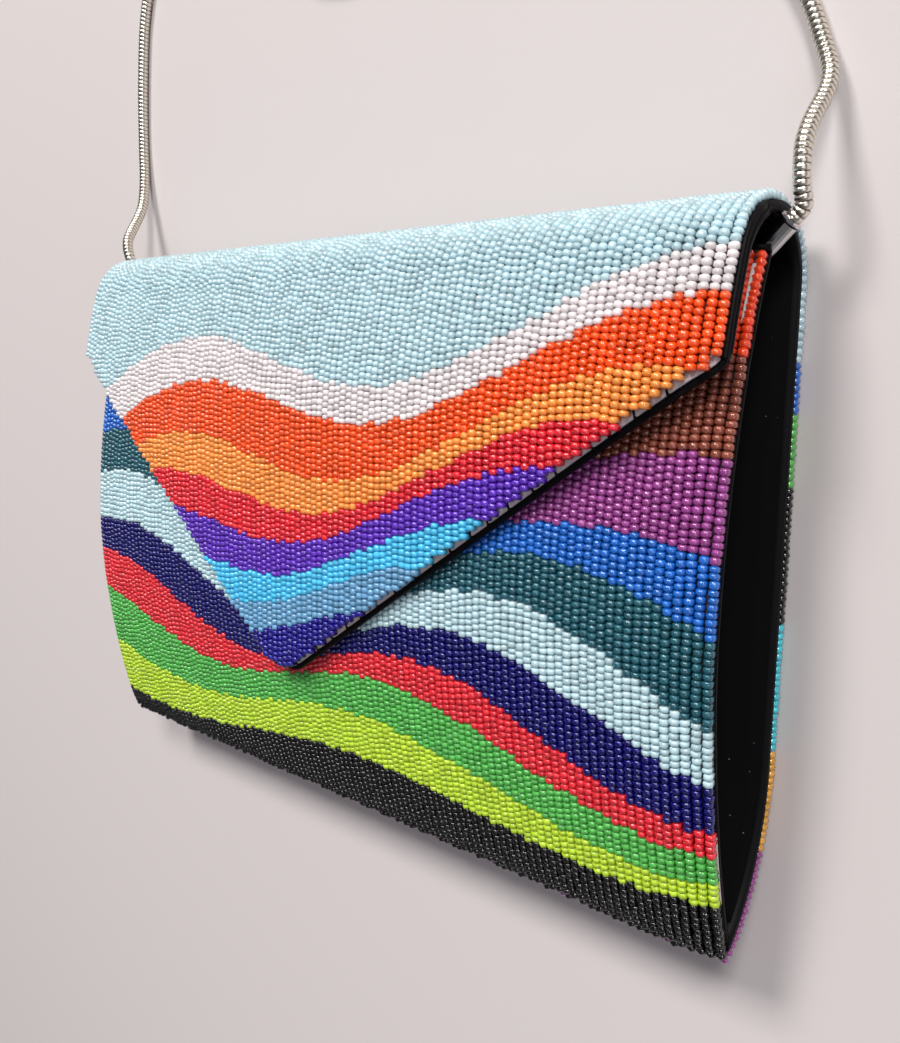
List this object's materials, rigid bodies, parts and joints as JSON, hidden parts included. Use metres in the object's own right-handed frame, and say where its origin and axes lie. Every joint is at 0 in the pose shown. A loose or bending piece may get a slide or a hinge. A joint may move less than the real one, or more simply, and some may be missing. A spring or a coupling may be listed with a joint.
{
  "type": "beaded clutch",
  "caption": "Flat evening clutch covered in glass seed beads, with a pointed fold-over flap on a magnetic snap, inward-folding side gussets and a long snake-chain strap.",
  "frame": {"origin": "on the table under the middle of the bag, which lies on its back; the chain isn't counted", "axes": "+X to the wearer's right along the flap's fold, +Y from the bottom fold to the top fold, +Z out of the front"},
  "size_m": [0.2615, 0.291, 0.0381],
  "materials": {
    "beads_pale_aqua": "opaque glass seed beads, glossy, pale aqua",
    "beads_white": "opaque glass seed beads, glossy, white",
    "beads_slate": "opaque glass seed beads, glossy, slate",
    "beads_sky": "opaque glass seed beads, glossy, sky",
    "beads_blue": "opaque glass seed beads, glossy, blue",
    "beads_indigo": "opaque glass seed beads, glossy, indigo",
    "beads_navy": "opaque glass seed beads, glossy, navy",
    "beads_purple": "opaque glass seed beads, glossy, purple",
    "beads_magenta": "opaque glass seed beads, glossy, magenta",
    "beads_red": "opaque glass seed beads, glossy, red",
    "beads_red_orange": "opaque glass seed beads, glossy, red orange",
    "beads_orange": "opaque glass seed beads, glossy, orange",
    "beads_amber": "opaque glass seed beads, glossy, amber",
    "beads_gold": "opaque glass seed beads, glossy, gold",
    "beads_lime": "opaque glass seed beads, glossy, lime",
    "beads_green": "opaque glass seed beads, glossy, green",
    "beads_teal": "opaque glass seed beads, glossy, teal",
    "beads_turquoise": "opaque glass seed beads, glossy, turquoise",
    "beads_brown": "opaque glass seed beads, glossy, brown",
    "beads_black": "opaque glass seed beads, glossy, black",
    "ground_cloth": "pale felt backing, cut edge",
    "lining_satin": "black satin lining and binding",
    "gusset_cloth": "matte black woven cloth",
    "snap_metal": "plated steel",
    "chain_metal": "polished plated snake chain, dark between the segments",
    "sewing_thread": "black sewing thread"
  },
  "bodies": {
    "bag": {"front_beads_red_orange": "beads_red_orange", "front_beads_brown": "beads_brown", "front_beads_magenta": "beads_magenta", "front_beads_blue": "beads_blue", "front_beads_teal": "beads_teal", "front_beads_pale_aqua": "beads_pale_aqua", "front_beads_navy": "beads_navy", "front_beads_red": "beads_red", "front_beads_green": "beads_green", "front_beads_lime": "beads_lime", "front_beads_black": "beads_black", "back_beads_magenta": "beads_magenta", "back_beads_gold": "beads_gold", "back_beads_turquoise": "beads_turquoise", "back_beads_black": "beads_black", "back_beads_green": "beads_green", "back_beads_blue": "beads_blue", "back_beads_pale_aqua": "beads_pale_aqua", "body_cloth": "ground_cloth", "body_lining": "lining_satin", "gusset_right": "gusset_cloth", "gusset_left": "gusset_cloth", "snap_socket": "snap_metal", "chain_coil": "chain_metal", "chain_right": "chain_metal", "chain_left": "chain_metal", "chain_cap_right": "chain_metal", "chain_cap_left": "chain_metal", "cap_thread_right": "sewing_thread", "cap_thread_left": "sewing_thread"},
    "flap": {"flap_beads_pale_aqua": "beads_pale_aqua", "flap_beads_white": "beads_white", "flap_beads_orange": "beads_orange", "flap_beads_amber": "beads_amber", "flap_beads_red": "beads_red", "flap_beads_purple": "beads_purple", "flap_beads_sky": "beads_sky", "flap_beads_slate": "beads_slate", "flap_beads_indigo": "beads_indigo", "flap_cloth": "ground_cloth", "flap_lining": "lining_satin", "flap_binding": "lining_satin", "snap_stud": "snap_metal"}
  },
  "joints": [
    {"name": "flap_hinge", "type": "hinge", "parent": "bag", "child": "flap", "pos_m": [0, 0.0791, 0.0165], "axis": [-1, 0, 0], "range_deg": [0, 160]}
  ]
}
